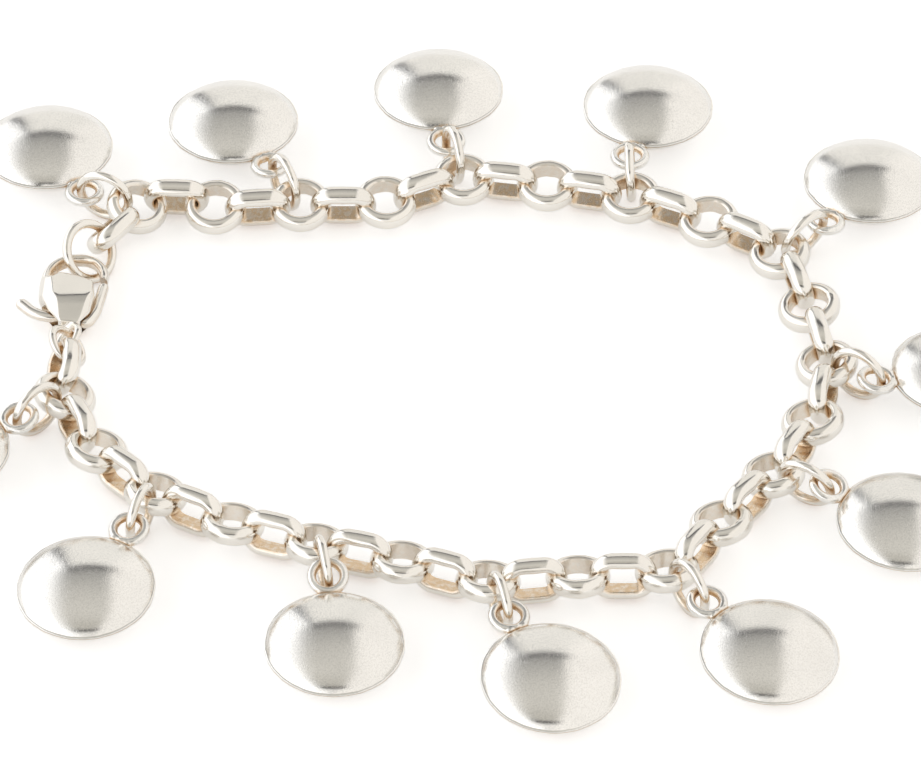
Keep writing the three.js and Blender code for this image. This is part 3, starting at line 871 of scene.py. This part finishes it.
def studio_floor():
    let_go()
    bpy.ops.mesh.primitive_plane_add(size=8)
    floor = bpy.context.object
    floor.name = "floor"
    finish = bpy.data.materials.new("white table")
    finish.use_nodes = True
    tree = finish.node_tree
    shader = tree.nodes["Principled BSDF"]
    white = blended(tree, cloudy_noise(tree, 60, 2.0), (0.90, 0.90, 0.90), (0.92, 0.92, 0.92))
    tree.links.new(white, shader.inputs["Base Color"])
    shader.inputs["Roughness"].default_value = 0.9
    shader.inputs["Specular IOR Level"].default_value = 0.1
    shader.inputs["Emission Color"].default_value = (1.0, 1.0, 1.0, 1.0)
    # it glows a little, and more so where the camera looks straight at it
    seen = tree.nodes.new("ShaderNodeLightPath")
    strength = sums(tree, "MULTIPLY_ADD", seen.outputs["Is Camera Ray"], 0.22, 0.18)
    tree.links.new(strength, shader.inputs["Emission Strength"])
    floor.data.materials.append(finish)


def studio_light():
    """A light tent, drawn by direction: a bright left wall, a warm right wall, a grey top
    that is paler at the front, and a pale back wall with a dark gap above it. side and
    depth say how far right and how far back a direction leans for each step up."""
    world = bpy.data.worlds.new("light tent")
    bpy.context.scene.world = world
    world.use_nodes = True
    tree = world.node_tree
    glow = tree.nodes["Background"]
    place = tree.nodes.new("ShaderNodeTexCoord")
    split = tree.nodes.new("ShaderNodeSeparateXYZ")
    tree.links.new(place.outputs["Generated"], split.inputs[0])
    up = sums(tree, "MAXIMUM", split.outputs["Z"], 0.02)
    side = sums(tree, "DIVIDE", split.outputs["X"], up)
    depth = sums(tree, "DIVIDE", split.outputs["Y"], up)
    top = ramped(tree, depth, 0.95, -0.25)
    colour = blended(tree, top, BACK_OF_TOP, FRONT_OF_TOP)
    low = ramped(tree, depth, -0.15, -0.65)
    colour = blended(tree, low, colour, LOW_FRONT)
    front = ramped(tree, depth, -1.34, -1.52)
    colour = blended(tree, front, colour, FRONT_WALL)
    right = ramped(tree, side, 0.27, 0.40)
    colour = blended(tree, right, colour, RIGHT_WALL)
    left = ramped(tree, side, -0.34, -0.98)
    colour = blended(tree, left, colour, LEFT_WALL)
    # a dark slot in the front wall at the camera's height
    slot = band(tree, depth, (-1.00, -1.08), (-1.54, -1.40))
    middle = band(tree, side, (-0.62, -0.42), (0.50, 0.34))
    colour = blended(tree, sums(tree, "MULTIPLY", slot, middle), colour, FRONT_SLOT)
    # the pale back wall between the side walls, a dark gap over its top and a dark joint
    # where it meets the left wall, which leans
    back = sums(tree, "MAXIMUM", split.outputs["Y"], 0.02)
    azimuth = sums(tree, "DIVIDE", split.outputs["X"], back)
    leaning = sums(tree, "DIVIDE", sums(tree, "MULTIPLY_ADD", up, 0.16, split.outputs["X"]), back)
    between = sums(
        tree, "MULTIPLY", ramped(tree, leaning, -0.37, -0.28), ramped(tree, azimuth, 0.55, 0.42))
    gap = sums(tree, "MULTIPLY", ramped(tree, depth, 0.76, 0.86), between)
    colour = blended(tree, gap, colour, BACK_GAP)
    behind = ramped(tree, depth, 0.99, 1.09)
    beside = blended(tree, ramped(tree, azimuth, -0.05, 0.05), LEFT_OF_BACK, RIGHT_WALL)
    wall = sums(
        tree, "MULTIPLY", ramped(tree, leaning, -0.30, -0.24), ramped(tree, azimuth, 0.42, 0.27))
    beside = blended(tree, wall, beside, BACK_WALL)
    joint = band(tree, leaning, (-0.365, -0.33), (-0.245, -0.28))
    beside = blended(tree, joint, beside, WALL_JOINT)
    colour = blended(tree, behind, colour, beside)
    tree.links.new(colour, glow.inputs["Color"])
    glow.inputs["Strength"].default_value = 1.0


def studio_camera():
    lens = bpy.data.cameras.new("camera")
    camera = bpy.data.objects.new("camera", lens)
    bpy.context.scene.collection.objects.link(camera)
    elevation = math.radians(CAMERA_ELEVATION)
    camera.location = (
        LOOP_SHIFT[0] * MM,
        LOOP_SHIFT[1] * MM - CAMERA_DISTANCE * math.cos(elevation),
        CAMERA_DISTANCE * math.sin(elevation))
    camera.rotation_euler = (math.pi / 2 - elevation, 0, 0)
    lens.sensor_width = 36
    lens.lens = CAMERA_LENS
    lens.clip_start = 0.01
    lens.clip_end = 20
    bpy.context.scene.camera = camera


studio_floor()
studio_light()
studio_camera()
bpy.context.scene.view_settings.view_transform = "Standard"

let_go()
